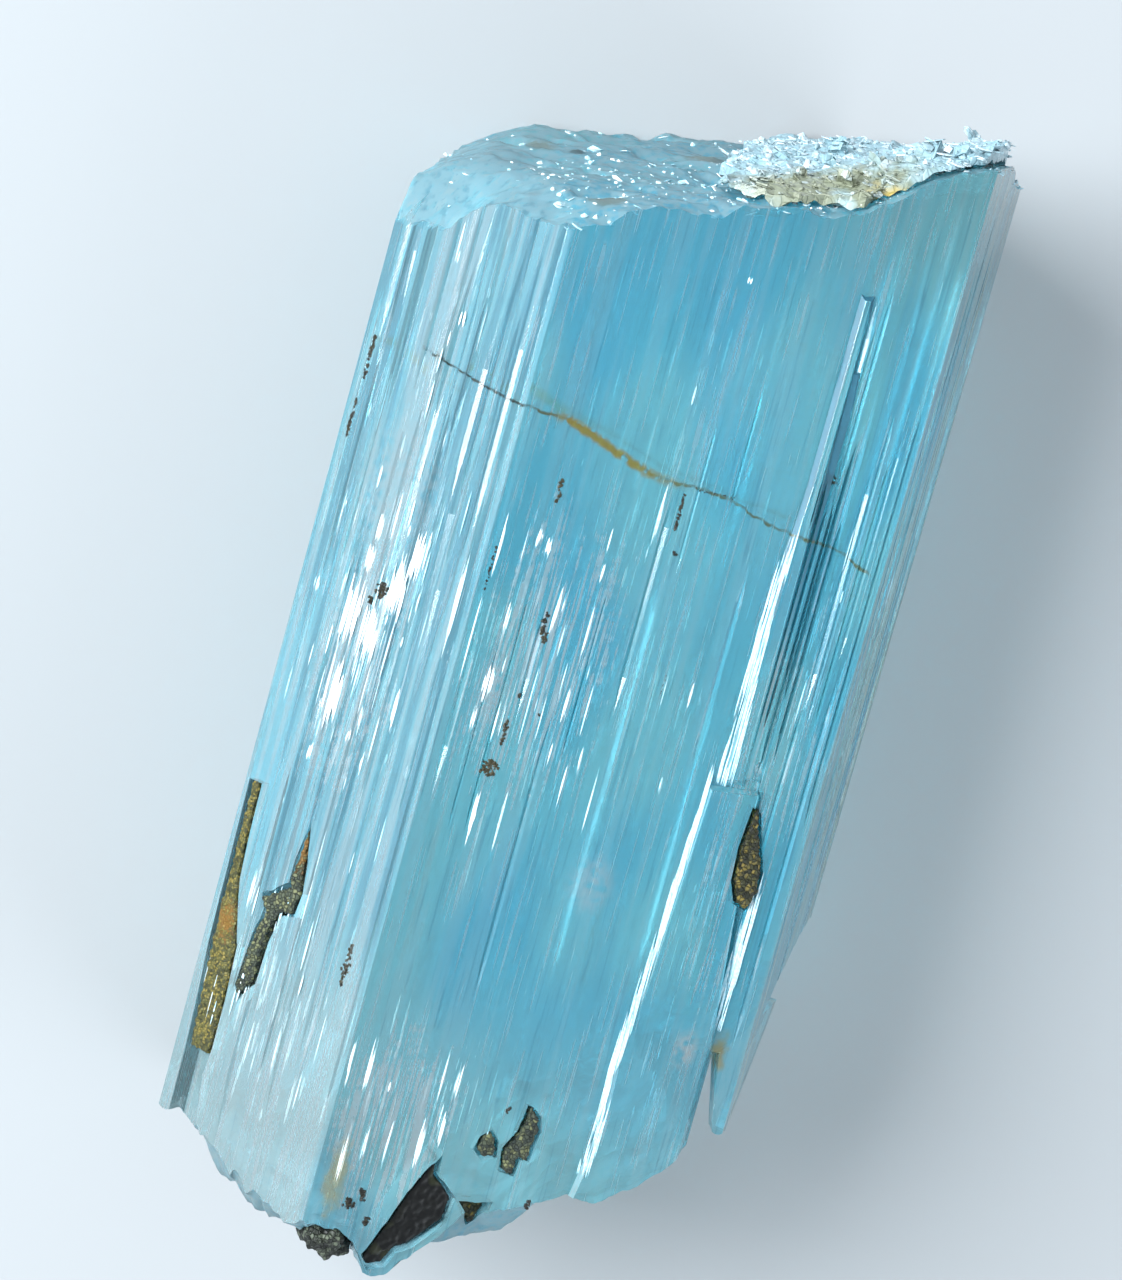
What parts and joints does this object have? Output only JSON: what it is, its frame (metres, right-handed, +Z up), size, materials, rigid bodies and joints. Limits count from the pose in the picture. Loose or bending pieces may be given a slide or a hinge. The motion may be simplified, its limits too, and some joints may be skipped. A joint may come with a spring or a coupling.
{
  "type": "aquamarine crystal",
  "caption": "Six-sided prismatic beryl crystal lying on a prism face, striated lengthwise, with a crusted sloping termination and a broken base.",
  "frame": {"origin": "middle of the underside, the back prism face that it rests on, at the centre of the bounding box", "axes": "+X across the crystal, +Y along its length to the crusted termination, +Z up, out of the front prism face"},
  "size_m": [0.0296, 0.0576, 0.0188],
  "materials": {
    "aquamarine": "clear pale blue, striated and satin along the prism faces, etched at the end",
    "mica": "flaky, pearly white with tan and yellow stains",
    "black_mineral": "black, glossy on broken facets",
    "dark_grains": "dull dark grey-green grains",
    "olive_mineral": "dull granular olive to orange-brown",
    "grey_olive_mineral": "dull granular grey-green"
  },
  "bodies": {
    "root": {"aquamarine_crystal": "aquamarine", "mica_crust": "mica", "black_inclusion": "black_mineral", "dark_grain_cluster": "dark_grains", "groove_filling": "olive_mineral", "olive_lozenge": "olive_mineral", "long_patch": "grey_olive_mineral", "small_patch": "grey_olive_mineral", "forked_patch": "grey_olive_mineral", "base_triangle": "olive_mineral"}
  },
  "joints": []
}
